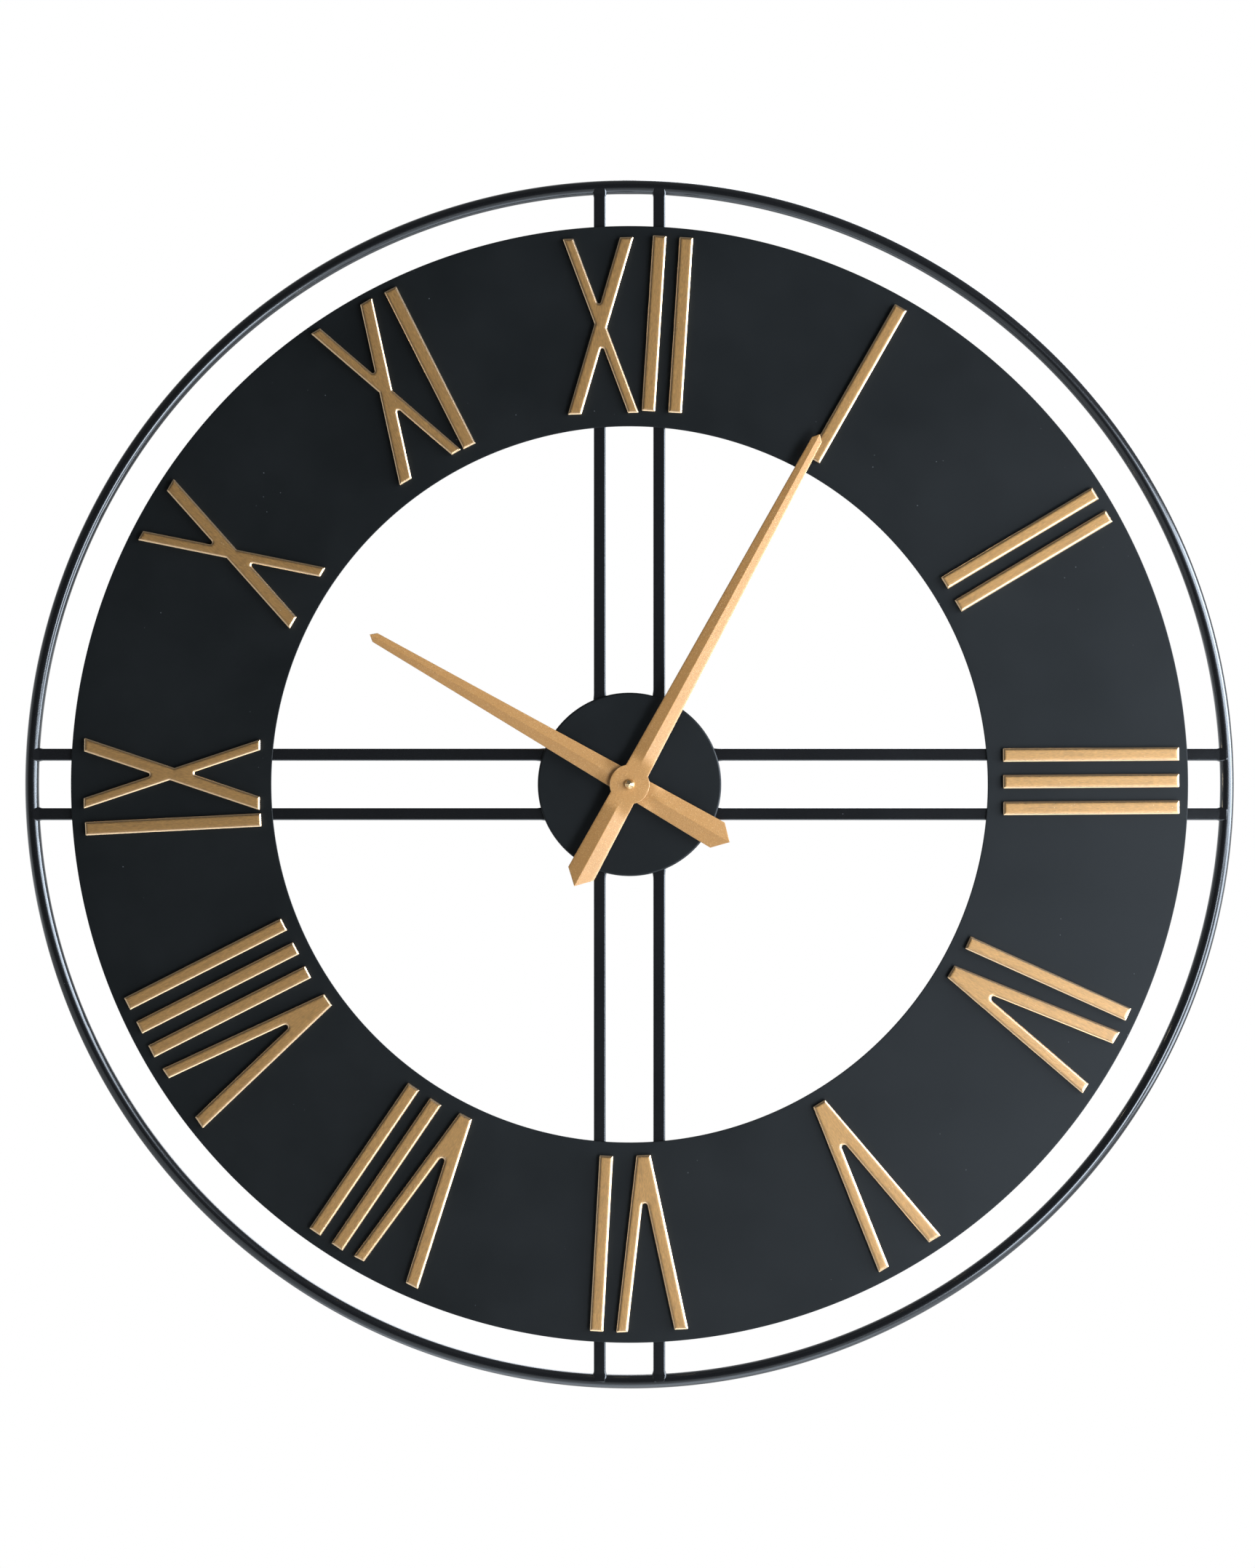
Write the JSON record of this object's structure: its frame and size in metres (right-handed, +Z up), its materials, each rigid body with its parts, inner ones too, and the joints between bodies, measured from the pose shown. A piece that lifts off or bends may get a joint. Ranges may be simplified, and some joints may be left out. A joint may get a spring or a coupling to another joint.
{
  "type": "wall clock",
  "caption": "Round skeleton wall clock: rod ring, flat dial ring with raised Roman numerals, paired square spokes, hub cup with a battery quartz movement, tapered folded hands.",
  "frame": {"origin": "on the wall plane, straight behind the hands' arbor: the middle of the movement's rear face", "axes": "+Z up towards twelve, +Y into the wall, so the dial looks towards -Y and three o'clock is at +X"},
  "size_m": [0.5999, 0.031, 0.6],
  "materials": {
    "black_paint": "satin black paint",
    "brushed_gold": "brushed, gold tone",
    "gold_paint": "fine metallic gold paint",
    "brass": "polished",
    "rubber": "matte",
    "black_plastic": "fine moulded texture",
    "white_plastic": "moulded",
    "steel": "plain",
    "magnet": "ground",
    "copper": "enamelled wire",
    "board": "solder mask",
    "epoxy": "moulded drop",
    "cell_sleeve": "printed sleeve, plain"
  },
  "bodies": {
    "clock_body": {"outer_ring": "black_paint", "spoke_top_left": "black_paint", "spoke_top_right": "black_paint", "spoke_right_upper": "black_paint", "spoke_right_lower": "black_paint", "spoke_bottom_right": "black_paint", "spoke_bottom_left": "black_paint", "spoke_left_lower": "black_paint", "spoke_left_upper": "black_paint", "dial_ring": "black_paint", "hub_cup": "black_paint", "numeral_1": "brushed_gold", "numeral_2": "brushed_gold", "numeral_3": "brushed_gold", "numeral_4": "brushed_gold", "numeral_5": "brushed_gold", "numeral_6": "brushed_gold", "numeral_7": "brushed_gold", "numeral_8": "brushed_gold", "numeral_9": "brushed_gold", "numeral_10": "brushed_gold", "numeral_11": "brushed_gold", "numeral_12": "brushed_gold", "rubber_gasket": "rubber", "dial_washer": "brass", "fixing_nut": "brass", "front_case": "black_plastic", "rear_cover": "black_plastic", "train_bridge": "white_plastic", "stator": "steel", "coil_bobbin": "white_plastic", "coil_winding": "copper", "circuit_board": "board", "driver_chip": "epoxy", "quartz_crystal": "steel", "contact_positive": "steel", "contact_negative": "steel"},
    "minute_hand_set": {"minute_hand": "gold_paint", "minute_hand_bush": "brass", "cap_nut": "brass", "minute_arbor": "steel"},
    "hour_hand_set": {"hour_hand": "gold_paint", "hour_hand_bush": "brass", "hour_wheel": "white_plastic"},
    "motion_work": {"motion_wheel": "white_plastic"},
    "setting_stem": {"setting_knob": "white_plastic"},
    "centre_wheel_body": {"centre_wheel": "white_plastic"},
    "third_wheel_body": {"third_wheel": "white_plastic"},
    "fourth_wheel_body": {"fourth_wheel": "white_plastic"},
    "fifth_wheel_body": {"fifth_wheel": "white_plastic"},
    "rotor_body": {"rotor_magnet": "magnet", "rotor_pinion": "white_plastic"},
    "battery_body": {"battery": "cell_sleeve"}
  },
  "joints": [
    {"name": "minute_hand_spin", "type": "hinge", "parent": "clock_body", "child": "minute_hand_set", "pos_m": [0, -0.0263, 0], "axis": [0, 1, 0], "continuous": true},
    {"name": "hour_hand_spin", "type": "hinge", "parent": "clock_body", "child": "hour_hand_set", "pos_m": [0, -0.0236, 0], "axis": [0, 1, 0], "continuous": true},
    {"name": "motion_wheel_spin", "type": "hinge", "parent": "clock_body", "child": "motion_work", "pos_m": [-0.00773, -0.013, 0.00207], "axis": [0, 1, 0], "continuous": true},
    {"name": "setting_knob_spin", "type": "hinge", "parent": "clock_body", "child": "setting_stem", "pos_m": [-0.01562, -0.001, -0.0008], "axis": [0, 1, 0], "continuous": true},
    {"name": "fifth_wheel_spin", "type": "hinge", "parent": "clock_body", "child": "fifth_wheel_body", "pos_m": [-0.0046, -0.0067, 0.01407], "axis": [0, 1, 0], "continuous": true},
    {"name": "fourth_wheel_spin", "type": "hinge", "parent": "clock_body", "child": "fourth_wheel_body", "pos_m": [0.00586, -0.0083, 0.01498], "axis": [0, 1, 0], "continuous": true},
    {"name": "third_wheel_spin", "type": "hinge", "parent": "clock_body", "child": "third_wheel_body", "pos_m": [0.00935, -0.0099, 0.0054], "axis": [0, 1, 0], "continuous": true},
    {"name": "centre_wheel_spin", "type": "hinge", "parent": "clock_body", "child": "centre_wheel_body", "pos_m": [0, -0.0115, 0], "axis": [0, 1, 0], "continuous": true},
    {"name": "rotor_spin", "type": "hinge", "parent": "clock_body", "child": "rotor_body", "pos_m": [-0.01523, -0.0048, 0.01219], "axis": [0, 1, 0], "continuous": true},
    {"name": "battery_slide", "type": "slide", "parent": "clock_body", "child": "battery_body", "axis": [0, 1, 0], "range_m": [0, 0.018]}
  ],
  "couplings": [
    {"joint": "hour_hand_spin", "follows": "minute_hand_spin", "ratio": 0.083333},
    {"joint": "motion_wheel_spin", "follows": "minute_hand_spin", "ratio": -0.33333},
    {"joint": "setting_knob_spin", "follows": "minute_hand_spin", "ratio": 0.83333},
    {"joint": "fourth_wheel_spin", "follows": "fifth_wheel_spin", "ratio": -0.16667},
    {"joint": "third_wheel_spin", "follows": "fifth_wheel_spin", "ratio": 0.022222},
    {"joint": "centre_wheel_spin", "follows": "fifth_wheel_spin", "ratio": -0.0027778},
    {"joint": "rotor_spin", "follows": "fifth_wheel_spin", "ratio": -5}
  ]
}
